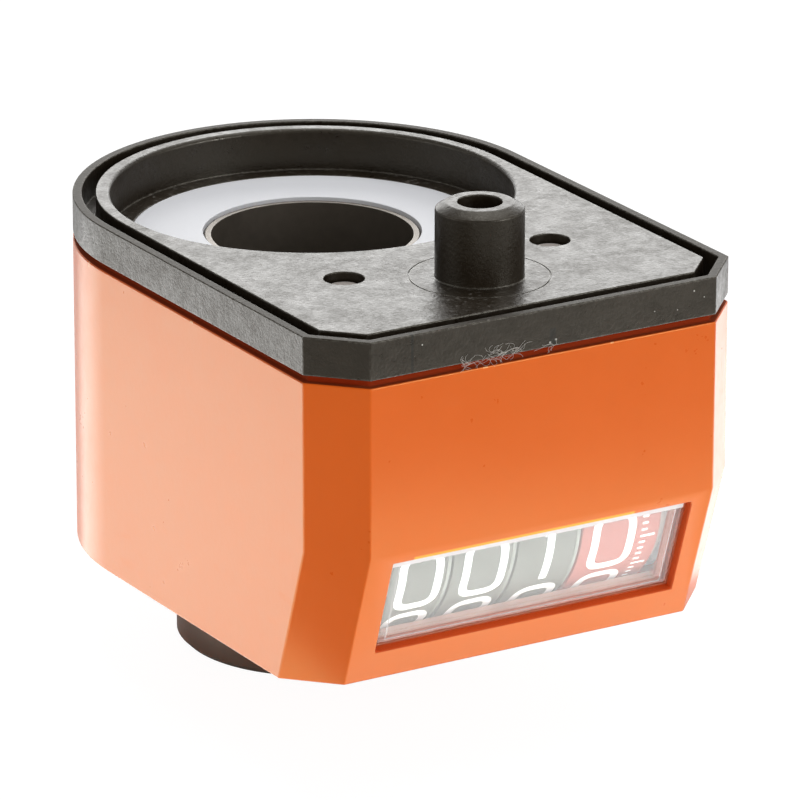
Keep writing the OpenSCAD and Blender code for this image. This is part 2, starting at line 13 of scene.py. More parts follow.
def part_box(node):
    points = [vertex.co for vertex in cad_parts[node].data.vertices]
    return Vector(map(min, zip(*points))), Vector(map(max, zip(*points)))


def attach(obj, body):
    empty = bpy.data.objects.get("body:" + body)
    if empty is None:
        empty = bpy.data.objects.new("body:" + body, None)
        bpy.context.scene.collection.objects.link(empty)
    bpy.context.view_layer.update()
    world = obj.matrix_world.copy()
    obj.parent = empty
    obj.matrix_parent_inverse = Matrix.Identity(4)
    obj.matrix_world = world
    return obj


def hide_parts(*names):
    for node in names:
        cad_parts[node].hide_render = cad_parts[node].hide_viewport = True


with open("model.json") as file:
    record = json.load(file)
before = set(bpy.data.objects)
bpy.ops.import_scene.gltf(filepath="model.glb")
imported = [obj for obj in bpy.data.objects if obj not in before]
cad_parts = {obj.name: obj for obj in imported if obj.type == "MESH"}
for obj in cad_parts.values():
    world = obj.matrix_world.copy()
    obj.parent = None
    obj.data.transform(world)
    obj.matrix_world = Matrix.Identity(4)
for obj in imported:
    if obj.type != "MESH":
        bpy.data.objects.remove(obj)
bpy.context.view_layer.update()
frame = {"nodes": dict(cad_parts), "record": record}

bl_info = {
    "name": "Position indicator",
    "version": (1, 0, 0),
    "blender": (4, 5, 0),
    "location": "3D View > Sidebar > Indicator",
    "description": "Builds the looks of a position indicator round its packed CAD part",
    "category": "Object",
}

MM = 0.001
WELD = 1e-6
FLAT_ANGLE = math.radians(0.4)
SHARP_ANGLE = math.radians(30)
SMOOTH_ANGLE = math.radians(38)
OUTER_WALL = 16.45 * MM
CHAMFER_LEGS = (3.15 * MM, 3.3 * MM)
RIM_WIDTH = 0.7 * MM
PIN_PLACE = (0, -22 * MM)
WITNESS_RING = (4.4 * MM, 4.85 * MM)
PRINT_STEP = 0.3 * MM
DIGIT_ANGLE = math.radians(36)
TICK_ANGLE = math.radians(3.6)
TICK_COUNT = 100

# Directions of the slanted window face: into the case, and up along the face
SLANT = math.radians(18.78)
INWARD = Vector((0, math.cos(SLANT), math.sin(SLANT)))
RISE = Vector((0, -math.sin(SLANT), math.cos(SLANT)))

# Depths of the pane's front face behind the case's face, and of the tray behind the pane's face
WALL_TO_PANE = 0.45 * MM
TRAY_DEPTH = 0.67 * MM

# The camera that was fitted to the photograph: its place, and its angles in radians
CAMERA_PLACE = Vector((-239.334, -410.136, 183.266)) * MM
CAMERA_YAW, CAMERA_PITCH, CAMERA_ROLL = 0.541, 0.3368, 0.0014


def srgb(red, green, blue):
    """Linear colour of an sRGB colour that is given from 0 to 255."""
    shares = (red / 255, green / 255, blue / 255)
    return tuple(
        share / 12.92 if share <= 0.04045 else ((share + 0.055) / 1.055) ** 2.4 for share in shares
    )


def colour_property(name, description, red, green, blue):
    """A colour setting with an sRGB default."""
    return FloatVectorProperty(
        name=name, description=description, subtype="COLOR", size=3, min=0, max=1,
        default=srgb(red, green, blue),
    )


def length_property(name, description, millimetres):
    """A length setting whose default is given in millimetres."""
    return FloatProperty(
        name=name, description=description, unit="LENGTH", min=0, default=millimetres * MM,
    )


def share_property(name, description, default, top=1):
    """A setting without a unit, from 0 up."""
    return FloatProperty(name=name, description=description, min=0, max=top, default=default)


class IndicatorColours(bpy.types.PropertyGroup):
    """Colours of the object's materials."""

    case: colour_property("Case", "Orange moulded plastic of the case", 232, 91, 11)
    base: colour_property("Base", "Black moulded plastic of the base", 33, 25, 15)
    sleeve: colour_property("Sleeve", "Blackened steel of the hollow shaft", 114, 106, 96)
    acetal: colour_property("Acetal", "White acetal of the rear ring and the gears", 230, 231, 235)
    dark_drum: colour_property("Dark drums", "Grey-green number drums", 86, 88, 78)
    red_drum: colour_property("Red drum", "Red number drum", 152, 70, 54)
    # The same white also paints the pane's fine line and its painted highlight strip along the top
    ink: colour_property("Digits", "White print on the drums and ground border of the pane", 251, 251, 250)
    milky: colour_property("Milky edges", "Ground walls at the back of the pane", 186, 166, 150)
    frame: colour_property("Frame", "Grey plastic of the counter frame", 170, 162, 156)
    steel: colour_property("Steel", "Bare steel of shafts and plates", 176, 176, 172)
    plate: colour_property("Plates", "Dull steel of the plates between the drums", 120, 124, 114)
    rubber: colour_property("Seal", "Rubber of the shaft seal", 22, 22, 22)
    dust: colour_property("Dust", "Dust and lint", 205, 200, 192)
    # Painted shade: dark red in the groove between case and base, where shade falls
    reveal: colour_property("Reveal", "Shaded groove between case and base", 150, 36, 6)
    # Painted shade: darker orange on the opening's walls in front of the pane and on its right and low
    # edges
    opening: colour_property("Opening", "Walls of the window's opening", 205, 64, 16)
    # Painted reflection: the orange case as seen in the pane's right and low walls
    pane_rim_reflection: colour_property("Pane rim", "Orange seen in the pane's right and low walls", 190, 92, 50)


class IndicatorSizes(bpy.types.PropertyGroup):
    """Sizes of what the CAD part leaves out."""

    case_edge: length_property("Case edges", "Radius of the case's moulded edges", 0.12)
    base_edge: length_property("Base edges", "Radius of the base's moulded edges", 0.3)
    pane_edge: length_property("Pane edges", "Width of the pane's edge bevels", 0.1)
    small_edge: length_property("Small edges", "Radius of the other pieces' edges", 0.06)
    digit_w: length_property("Digit width", "Width of a digit over its strokes' centres", 2.85)
    digit_shift: length_property("Digit shift", "Digits' place right of a drum's middle", 0.3)
    digit_h: length_property("Digit height", "Height of a digit over its strokes' centres", 4.25)
    digit_corner: length_property("Digit corners", "Corner radius of a stroke's centre line", 1.0)
    stroke: length_property("Stroke", "Width of a digit's stroke", 0.6)
    ink_t: length_property("Ink", "Height of the print above the drum", 0.02)
    digit_turn: FloatProperty(
        name="Digit turn", description="Angle of a shown digit's middle above the horizontal",
        subtype="ANGLE", default=math.radians(-18.45),
    )
    tick_start: length_property("Tick start", "Start of the graduation from the bore axis", 9.05)
    tick_short: length_property("Short ticks", "Length of a short tick", 0.45)
    tick_long: length_property("Long ticks", "Length of a long tick", 1.1)
    tick_stroke: length_property("Tick stroke", "Width of a tick", 0.18)
    lint_t: length_property("Lint", "Thickness of a lint fibre", 0.016)


class IndicatorStage(bpy.types.PropertyGroup):
    """Camera, light and floor."""

    lens: share_property("Lens", "Focal length in millimetres on a 36 mm sensor", 325.56, 500)
    top_power: share_property("Top light", "Power of the top softbox in watts", 0.46, 50)
    right_power: share_property("Right light", "Power of the right softbox in watts", 0.52, 50)
    left_power: share_property("Left light", "Power of the left softbox in watts", 0.13, 50)
    corner_power: share_property("Corner light", "Power of the soft light on the left corner", 0.42, 50)
    back_power: share_property("Back light", "Power of the backdrop's softbox in watts", 1.25, 50)
    back_shine: share_property("Back shine", "Power of the backdrop's light for reflections", 1.12, 50)
    table_power: share_property("Table light", "Power of the lit table behind on the left", 0.094, 50)
    front_power: share_property("Front table light", "Power of the lit table in front", 0.026, 50)
    side_power: share_property("Side table light", "Power of the lit table on the right", 0.026, 50)
    edge_power: share_property("Edge light", "Power of the small light for edges in watts", 0.7, 50)
    fill: share_property("Fill", "Strength of the surround for diffuse light", 0.28, 5)
    gloss_fill: share_property("Gloss fill", "Strength of the surround in reflections", 0.4, 5)
    floor_glow: share_property("Floor glow", "Share of its own light that the seen floor shows", 0.85)


DIGITS_SHOWN = {"drum_1": 0, "drum_2": 1, "drum_3": 0, "drum_4": 0}

# Marks on the base and the case: middle, half size and soft edge in millimetres, colour, strength
SPECK, FLECK = srgb(205, 203, 194), srgb(255, 206, 150)
BASE_SPOTS = (
    ((-10.2, -30.3, 31.1), (0.07, 0.4, 1.3), 0.05, srgb(10, 8, 5), 1.0),
    ((0.55, -30.3, 30.2), (0.16, 0.3, 0.75), 0.14, srgb(6, 5, 3), 0.9),
    ((0.35, -30.3, 30.05), (0.04, 0.3, 0.04), 0.05, SPECK, 0.8),
    ((0.8, -30.3, 30.2), (0.05, 0.3, 0.03), 0.05, SPECK, 0.7),
    ((11.6, -30.3, 31.7), (0.03, 0.3, 0.03), 0.03, SPECK, 0.9),
    ((12.4, -30.3, 31.15), (0.02, 0.3, 0.02), 0.03, SPECK, 0.8),
    ((10.3, -30.3, 30.6), (0.02, 0.3, 0.02), 0.03, SPECK, 0.8),
    ((8.5, -30.3, 30.8), (0.02, 0.3, 0.02), 0.03, SPECK, 0.7),
    ((-9.45, -30.3, 31.6), (0.03, 0.3, 0.03), 0.03, SPECK, 0.9),
)

CASE_SPOTS = (
    ((-15.7, -30.0, 18.6), (0.2, 0.3, 0.05), 0.04, FLECK, 0.8),
    ((-16.5, 2.2, 29.1), (0.3, 0.05, 0.2), 0.04, FLECK, 0.7),
    ((-16.5, -12.3, 29.15), (0.3, 0.16, 0.03), 0.04, FLECK, 0.7),
    ((-4.6, -30.3, 29.2), (0.16, 0.3, 0.02), 0.04, FLECK, 0.7),
    ((5.2, -30.3, 29.2), (0.1, 0.3, 0.02), 0.04, FLECK, 0.6),
)

# Strokes of each digit in shares of its width and height: closed or open, then the points
GLYPHS = [
    [(True, [(0, 0), (1, 0), (1, 1), (0, 1)])],
    [(False, [(0.28, 0.92), (0.5, 1), (0.5, 0)])],
    [(False, [(0, 0.8), (0, 1), (1, 1), (1, 0.52), (0, 0.38), (0, 0), (1, 0)])],
    [(False, [(0, 0.84), (0, 1), (1, 1), (1, 0.52), (0.4, 0.52)]),
     (False, [(0.4, 0.52), (1, 0.52), (1, 0), (0, 0), (0, 0.16)])],
    [(False, [(0.74, 0), (0.74, 1)]), (False, [(0.74, 1), (0, 0.32), (1, 0.32)])],
    [(False, [(0.94, 1), (0.06, 1), (0.06, 0.58), (1, 0.58), (1, 0), (0, 0), (0, 0.16)])],
    [(True, [(0, 0), (1, 0), (1, 0.56), (0, 0.56)]), (False, [(0, 0.3), (0, 1), (0.9, 1)])],
    [(False, [(0, 1), (1, 1), (0.4, 0)])],
    [(True, [(0, 0), (1, 0), (1, 0.53), (0, 0.53)]),
     (True, [(0.06, 0.53), (0.94, 0.53), (0.94, 1), (0.06, 1)])],
    [(True, [(0, 0.44), (1, 0.44), (1, 1), (0, 1)]), (False, [(1, 0.7), (1, 0), (0.1, 0)])],
]


def colours():
    return bpy.context.scene.indicator_colours


def sizes():
    return bpy.context.scene.indicator_sizes


def stage_settings():
    return bpy.context.scene.indicator_stage


def case_top():
    """Height of the case's outer wall, where the groove under the base begins."""
    walls = [v.co.z for v in frame["nodes"]["case"].data.vertices if v.co.x < -OUTER_WALL]
    return max(walls)


def pane_outline():
    """The pane's front face: left, right, low and high edges and its depth along INWARD."""
    places = [v.co for v in frame["nodes"]["window"].data.vertices]
    face = min(place.dot(INWARD) for place in places)
    front = [place for place in places if place.dot(INWARD) < face + 0.05 * MM]
    across, rise = [place.x for place in front], [place.dot(RISE) for place in front]
    return min(across), max(across), min(rise), max(rise), face


def painted_window_glow():
    """A painted glow on the opening's upper edge, standing in for light that shines through the thin
    orange wall.
    """
    left, right, low, high, face = pane_outline()
    wall = face - WALL_TO_PANE
    edge = (high + 0.14 * MM) * RISE + wall * INWARD
    middle = ((left + right) / 2 / MM - 1.5, edge.y / MM, edge.z / MM)
    return middle, (8.5, 0.3, 0.1), 0.14, srgb(255, 182, 40), 1.0


def joint_place(name):
    """A joint's place at rest, in metres."""
    for joint in frame["record"]["behaviour"]["joints"]:
        if joint["name"] == name:
            return Vector(joint["pos_m"])
    raise RuntimeError("no joint named " + name)


# Shader nodes

class Nodes:
    """Adds and links the nodes of one node tree."""

    def __init__(self, tree):
        self.tree = tree
        self.count = 0

    def add(self, kind, inputs=None, **values):
        """A node with its settings, and with each input linked or set to a value."""
        node = self.tree.nodes.new(kind)
        node.location = (220 * (self.count % 8), -260 * (self.count // 8))
        self.count += 1
        for name, value in values.items():
            setattr(node, name, value)
        for name, value in (inputs or {}).items():
            if isinstance(value, bpy.types.NodeSocket):
                self.tree.links.new(value, node.inputs[name])
            else:
                node.inputs[name].default_value = value
        return node

    def math(self, operation, first, second=0.5, clamp=False):
        node = self.add("ShaderNodeMath", {0: first, 1: second}, operation=operation)
        node.use_clamp = clamp
        return node.outputs[0]

    def span(self, value, low, high, to_low=0.0, to_high=1.0):
        """Runs from to_low to to_high while the value runs from low to high."""
        node = self.add("ShaderNodeMapRange", {
            "Value": value, "From Min": low, "From Max": high, "To Min": to_low, "To Max": to_high,
        })
        return node.outputs["Result"]

    def mix(self, factor, first, second, blend="MIX"):
        inputs = {0: factor, 6: first, 7: second}
        node = self.add("ShaderNodeMix", inputs, data_type="RGBA", blend_type=blend)
        return node.outputs[2]

    def noise(self, place, size, detail=3.0, rough=0.55):
        linked = isinstance(size, bpy.types.NodeSocket)
        scale = self.math("DIVIDE", 1.0, size) if linked else 1 / size
        node = self.add("ShaderNodeTexNoise", {
            "Vector": place, "Scale": scale, "Detail": detail, "Roughness": rough,
        })
        return node.outputs["Fac"]

    def place(self):
        return self.add("ShaderNodeTexCoord").outputs["Object"]

    def axes(self, vector):
        return self.add("ShaderNodeSeparateXYZ", {0: vector}).outputs

    def along(self, vector, direction):
        """The vector's part in a direction."""
        node = self.add("ShaderNodeVectorMath", {0: vector, 1: direction}, operation="DOT_PRODUCT")
        return node.outputs["Value"]

    def faces_up(self):
        """1 where the surface faces straight up, and 0 where it stands upright."""
        return self.axes(self.add("ShaderNodeNewGeometry").outputs["Normal"])["Z"]


def new_group(name, inputs, outputs):
    """An empty shader group with float inputs and outputs, and the nodes at its ends."""
    tree = bpy.data.node_groups.new(name, "ShaderNodeTree")
    for label, default in inputs:
        socket = tree.interface.new_socket(label, in_out="INPUT", socket_type="NodeSocketFloat")
        socket.default_value = default
    for label in outputs:
        tree.interface.new_socket(label, in_out="OUTPUT", socket_type="NodeSocketFloat")
    nodes = Nodes(tree)
    return nodes, nodes.add("NodeGroupInput").outputs, nodes.add("NodeGroupOutput")


def finish_group(nodes, end, values):
    for label, value in values.items():
        nodes.tree.links.new(value, end.inputs[label])
    return nodes.tree


def grain_group():
    """Moulded or machined surface: uneven tone, uneven gloss and a fine relief."""
    nodes, given, end = new_group(
        "Surface grain",
        [("Grain Size", 0.0003), ("Patch Size", 0.006), ("Tone Spread", 0.06),
         ("Roughness", 0.4), ("Roughness Spread", 0.08)],
        ["Tone", "Roughness", "Height"],
    )
    place = nodes.place()
    fine = nodes.noise(place, given["Grain Size"], 2.0)
    patches = nodes.noise(place, given["Patch Size"], 4.0)
    specks = nodes.noise(place, nodes.math("MULTIPLY", given["Grain Size"], 3.1), 1.0)
    uneven = nodes.math("ADD", patches, nodes.math("MULTIPLY", specks, 0.4))
    uneven = nodes.math("SUBTRACT", uneven, 0.7)
    tone = nodes.math("ADD", nodes.math("MULTIPLY", uneven, given["Tone Spread"]), 1.0)
    spread = nodes.math("ADD", nodes.math("MULTIPLY", specks, 0.6), nodes.math("SUBTRACT", fine, 0.8))
    mottled = nodes.math("ADD", uneven, spread)
    gloss = nodes.math(
        "ADD", nodes.math("MULTIPLY", mottled, given["Roughness Spread"]), given["Roughness"]
    )
    height = nodes.math("ADD", nodes.math("MULTIPLY", fine, 0.7), nodes.math("MULTIPLY", specks, 0.3))
    return finish_group(nodes, end, {"Tone": tone, "Roughness": gloss, "Height": height})


def wear_and_highlight_group():
    """Mask of worn edges that also paints a highlight along them, broken up by noise."""
    nodes, given, end = new_group("Worn and highlit edges", [("Width", 0.0002), ("Break Up", 0.0012)], ["Mask"])
    rounded = nodes.add("ShaderNodeBevel", {"Radius": given["Width"]}, samples=4).outputs["Normal"]
    flat = nodes.add("ShaderNodeNewGeometry").outputs["Normal"]
    turned = nodes.span(nodes.along(rounded, flat), 0.995, 0.85)
    broken = nodes.span(nodes.noise(nodes.place(), given["Break Up"], 3.0), 0.38, 0.62)
    return finish_group(nodes, end, {"Mask": nodes.math("MULTIPLY", turned, broken)})


def dust_group():
    """Mask of dust that has settled on what faces up."""
    nodes, given, end = new_group("Settled dust", [("Amount", 0.5)], ["Mask"])
    place = nodes.place()
    grains = nodes.span(nodes.noise(place, 0.0004, 2.0), 0.58, 0.76)
    drifts = nodes.span(nodes.noise(place, 0.005, 3.0), 0.35, 0.7)
    lying = nodes.span(nodes.faces_up(), 0.6, 0.95)
    lying = nodes.math("MULTIPLY", lying, nodes.math("MULTIPLY", grains, drifts))
    return finish_group(nodes, end, {"Mask": nodes.math("MULTIPLY", lying, given["Amount"])})


def marks_group():
    """Mask of fine handling scratches that run in two directions."""
    nodes, given, end = new_group("Handling marks", [("Amount", 0.5)], ["Mask"])
    place = nodes.place()
    lines = []
    for turn, stretch in ((0.5, (1, 24, 3)), (2.1, (22, 1, 4))):
        turned = nodes.add("ShaderNodeMapping", {
            "Vector": place, "Rotation": (turn, 0.3, turn), "Scale": stretch,
        }).outputs["Vector"]
        lines.append(nodes.span(nodes.noise(turned, 0.004, 1.0), 0.66, 0.7))
    both = nodes.math("MAXIMUM", lines[0], lines[1])
    rare = nodes.span(nodes.noise(place, 0.007, 2.0), 0.5, 0.65)
    mask = nodes.math("MULTIPLY", nodes.math("MULTIPLY", both, rare), given["Amount"])
    return finish_group(nodes, end, {"Mask": mask})


GROUP_MAKERS = {
    "Surface grain": grain_group, "Worn and highlit edges": wear_and_highlight_group,
    "Settled dust": dust_group, "Handling marks": marks_group,
}


def shared(nodes, name, **inputs):
    """Adds a shared group to a tree and returns its outputs."""
    tree = bpy.data.node_groups.get(name) or GROUP_MAKERS[name]()
    node = nodes.add("ShaderNodeGroup")
    node.node_tree = tree
    for label, value in inputs.items():
        node.inputs[label.replace("_", " ").title()].default_value = value
    return node.outputs


def new_material(name):
    material = bpy.data.materials.new(name)
    material.use_nodes = True
    material.node_tree.nodes.clear()
    return material, Nodes(material.node_tree)


def box_mask(nodes, middle, half, soft):
    """1 inside a box of the object's space, given in millimetres, and 0 outside its soft edge."""
    axes = nodes.axes(nodes.place())
    mask = None
    for axis, centre, reach in zip("XYZ", middle, half):
        away = nodes.math("ABSOLUTE", nodes.math("SUBTRACT", axes[axis], centre * MM))
        inside = nodes.span(away, reach * MM, (reach + soft) * MM, 1.0, 0.0)
        mask = nodes.math("MULTIPLY", mask, inside) if mask else inside
    return mask


def window_axes(nodes):
    """The place across the case, inward from the slanted face and up along it."""
    place = nodes.place()
    return nodes.axes(place)["X"], nodes.along(place, INWARD), nodes.along(place, RISE)


def opening_shade_mask(nodes):
    """1 where shade is painted: on the front of the opening's walls and on its broken right and low edges.
    """
    left, right, low, high, face = pane_outline()
    across, inward, rise = window_axes(nodes)
    wall = face - WALL_TO_PANE
    reach = nodes.math("SUBTRACT", left, across)
    for start, end in ((across, right), (low, rise), (rise, high)):
        reach = nodes.math("MAXIMUM", reach, nodes.math("SUBTRACT", start, end))
    below_top = nodes.span(rise, high - 0.1 * MM, high - 0.04 * MM, 1.0, 0.0)
    right_of_left = nodes.span(across, left - 0.04 * MM, left + 0.02 * MM)
    edge = nodes.span(reach, 0.14 * MM, 0.2 * MM, 1.0, 0.0)
    edge = nodes.math("MULTIPLY", edge, nodes.math("MULTIPLY", below_top, right_of_left))
    deep = nodes.span(inward, wall + 0.02 * MM, wall + 0.06 * MM)
    walls = nodes.math("MULTIPLY", deep, nodes.span(reach, 0.3 * MM, 0.4 * MM, 1.0, 0.0))
    near = nodes.span(inward, face + 0.9 * MM, face + 1.0 * MM, 1.0, 0.0)
    return nodes.math("MULTIPLY", near, nodes.math("MAXIMUM", walls, edge))


def rim_mask(nodes):
    """1 on the base's raised rim and 0 inside the groove."""
    places = [v.co for v in frame["nodes"]["base"].data.vertices]
    reach, front = max(place.x for place in places), min(place.y for place in places)
    leg_x, leg_y = CHAMFER_LEGS
    corner = max(place.x / leg_x - place.y / leg_y for place in places)
    slope = math.hypot(1 / leg_x, 1 / leg_y)
    axes = nodes.axes(nodes.place())
    side = nodes.math("ABSOLUTE", axes["X"])
    level = nodes.add("ShaderNodeCombineXYZ", {0: side, 1: nodes.math("MAXIMUM", axes["Y"], 0.0)})
    radius = nodes.add("ShaderNodeVectorMath", {0: level.outputs[0]}, operation="LENGTH")
    inset = nodes.math("SUBTRACT", reach, radius.outputs["Value"])
    inset = nodes.math("MINIMUM", inset, nodes.math("SUBTRACT", axes["Y"], front))
    leaning = nodes.math(
        "SUBTRACT", nodes.math("DIVIDE", side, leg_x), nodes.math("DIVIDE", axes["Y"], leg_y)
    )
    cut = nodes.math("DIVIDE", nodes.math("SUBTRACT", corner, leaning), slope)
    inset = nodes.math("MINIMUM", inset, cut)
    return nodes.span(inset, RIM_WIDTH, RIM_WIDTH + 0.02 * MM, 1.0, 0.0)


def with_painted_shade(nodes, toned, rough):
    """The case's colour and roughness, with painted shade in its window opening and in its top groove."""
    top = case_top()
    groove = nodes.span(nodes.axes(nodes.place())["Z"], top - 0.03 * MM, top - 0.01 * MM)
    tint = colours()
    # Painted shade: the opening's walls and the groove under the base get darker colours
    for mask, colour in ((opening_shade_mask(nodes), tint.opening), (groove, tint.reveal)):
        toned = nodes.mix(mask, toned, (*colour, 1))
        rough = nodes.math("MAXIMUM", rough, mask)
    return toned, rough


def solid_material(
    name, colour, roughness, grain, patch=0.006, tone=0.1, gloss=0.1, relief=0.02, metal=0.0,
    ior=1.5, edge=0.0, edge_wear_and_highlight_colour=None, edge_grain=0.0012, dust=0.0, marks=0.3, tint=(1, 1, 1),
    painted_shade_on_case=False, spots=(), dull_rim=0.0,
):
    """An opaque material with grain and marks, and on request with paler edges (wear and painted
    highlight), spots, painted shade and dust.
    """
    name = "look_" + name
    if name in bpy.data.materials:
        return bpy.data.materials[name]
    material, nodes = new_material(name)
    flat = (*colour, 1)
    surface = shared(
        nodes, "Surface grain", grain_size=grain, patch_size=patch, tone_spread=tone,
        roughness=roughness, roughness_spread=gloss,
    )
    grey = nodes.add("ShaderNodeCombineColor", dict.fromkeys(("Red", "Green", "Blue"), surface["Tone"]))
    toned = nodes.mix(1.0, flat, grey.outputs["Color"], "MULTIPLY")
    rough = surface["Roughness"]
    scratches = shared(nodes, "Handling marks", amount=marks)["Mask"]
    rough = nodes.math("ADD", rough, nodes.math("MULTIPLY", scratches, 0.25))
    # Paler edges: partly wear, partly a painted highlight where the edges would catch light
    if edge:
        worn_and_highlit = shared(nodes, "Worn and highlit edges", break_up=edge_grain)["Mask"]
        worn_and_highlit = nodes.math("MULTIPLY", worn_and_highlit, edge)
        toned = nodes.mix(worn_and_highlit, toned, (*(edge_wear_and_highlight_colour or colour), 1))
    for middle, half, soft, spot_colour, strength in spots:
        spot = nodes.math("MULTIPLY", box_mask(nodes, middle, half, soft), strength)
        toned = nodes.mix(spot, toned, (*spot_colour, 1))
    # Painted shade in the case's window opening and top groove
    if painted_shade_on_case:
        toned, rough = with_painted_shade(nodes, toned, rough)
    if dull_rim:
        dull = nodes.math("MULTIPLY", rim_mask(nodes), nodes.span(nodes.faces_up(), 0.2, 0.5))
        rough = nodes.math("MAXIMUM", rough, nodes.math("MULTIPLY", dull, dull_rim))
    if dust:
        settled = shared(nodes, "Settled dust", amount=dust)["Mask"]
        toned = nodes.mix(settled, toned, (*colours().dust, 1))
        rough = nodes.math("ADD", rough, nodes.math("MULTIPLY", settled, 0.4))
    relief_height = nodes.math(
        "SUBTRACT", surface["Height"], nodes.math("MULTIPLY", scratches, 0.5)
    )
    bump = nodes.add("ShaderNodeBump", {
        "Height": relief_height, "Strength": 1.0, "Distance": relief * MM,
    }).outputs["Normal"]
    shader = nodes.add("ShaderNodeBsdfPrincipled", {
        "Base Color": toned, "Roughness": nodes.math("ADD", rough, 0.0, clamp=True),
        "Metallic": metal, "IOR": ior, "Normal": bump, "Specular Tint": (*tint, 1),
    })
    nodes.add("ShaderNodeOutputMaterial", {"Surface": shader.outputs[0]})
    return material


def pane_material():
    """Clear plastic that lets lamps through, with a fine line round the view, a painted highlight strip
    along its top, milky walls at its back and a painted reflection of the orange case in its right and low
    walls.
    """
    material, nodes = new_material("look_clear_pane")
    surface = shared(
        nodes, "Surface grain", grain_size=0.0011, patch_size=0.007, tone_spread=0.02,
        roughness=0.02, roughness_spread=0.03,
    )
    bump = nodes.add("ShaderNodeBump", {
        "Height": surface["Height"], "Strength": 1.0, "Distance": 0.0006 * MM,
    }).outputs["Normal"]
    left, right, low, high, face = pane_outline()
    across, inward, rise = window_axes(nodes)
    tint = colours()

    # The front face: a fine line round the view, and above it a strip of painted highlight along the
    # pane's top edge
    on_face = nodes.span(inward, face + 0.02 * MM, face + 0.06 * MM, 1.0, 0.0)
    border = nodes.math("SUBTRACT", across, left + 0.8 * MM)
    border = nodes.math("MINIMUM", border, nodes.math("SUBTRACT", right - 0.75 * MM, across))
    border = nodes.math("MINIMUM", border, nodes.math("SUBTRACT", rise, low + 0.5 * MM))
    line = nodes.span(nodes.math("ABSOLUTE", border), 0.03 * MM, 0.06 * MM, 0.6, 0.0)
    highlight_strip = nodes.span(rise, high - 0.65 * MM, high - 0.61 * MM)
    highlight_strip = nodes.math("MULTIPLY", highlight_strip, 0.92)
    matt_share = nodes.math("MULTIPLY", nodes.math("MAXIMUM", line, highlight_strip), on_face)

    # The walls of the tray at the back, with a painted reflection of the orange case at the right and low,
    # and the two outer walls
    tray = nodes.span(inward, face + TRAY_DEPTH, face + TRAY_DEPTH + 0.03 * MM)
    orange_reflection = nodes.span(across, right - 1.0 * MM, right - 0.6 * MM)
    orange_reflection = nodes.math("MAXIMUM", orange_reflection, nodes.span(rise, low + 0.3 * MM, low + 0.1 * MM))
    tray_share = nodes.math("MULTIPLY", tray, nodes.span(orange_reflection, 0.0, 1.0, 0.35, 0.8))
    outer = nodes.math("SUBTRACT", right, across)
    outer = nodes.math("MINIMUM", outer, nodes.math("SUBTRACT", rise, low))
    outer = nodes.span(outer, 0.16 * MM, 0.2 * MM, 1.0, 0.0)
    matt_share = nodes.math("MAXIMUM", matt_share, tray_share)
    matt_share = nodes.math("MAXIMUM", matt_share, nodes.math("MULTIPLY", outer, 0.6))

    wall_colour = nodes.mix(orange_reflection, (*tint.milky, 1), (*tint.pane_rim_reflection, 1))
    milky = nodes.math("MAXIMUM", tray, outer)
    matt = nodes.add("ShaderNodeBsdfPrincipled", {
        "Base Color": nodes.mix(milky, (*tint.ink, 1), wall_colour), "Roughness": 0.5,
        "Normal": bump,
    })
    frosted = nodes.math("MULTIPLY", tray, 0.3)
    glass = nodes.add("ShaderNodeBsdfPrincipled", {
        "Base Color": (0.97, 0.985, 0.975, 1), "IOR": 1.49,
        "Roughness": nodes.math("MAXIMUM", surface["Roughness"], frosted),
        "Transmission Weight": 1.0, "Normal": bump,
    })
    clear = nodes.add("ShaderNodeBsdfTransparent", {"Color": (0.94, 0.95, 0.94, 1)})
    path = nodes.add("ShaderNodeLightPath")
    seen = nodes.add("ShaderNodeMixShader", {
        0: matt_share, 1: glass.outputs[0], 2: matt.outputs[0],
    })
    mixed = nodes.add("ShaderNodeMixShader", {
        0: path.outputs["Is Shadow Ray"], 1: seen.outputs[0], 2: clear.outputs[0],
    })
    nodes.add("ShaderNodeOutputMaterial", {"Surface": mixed.outputs[0]})
    return material


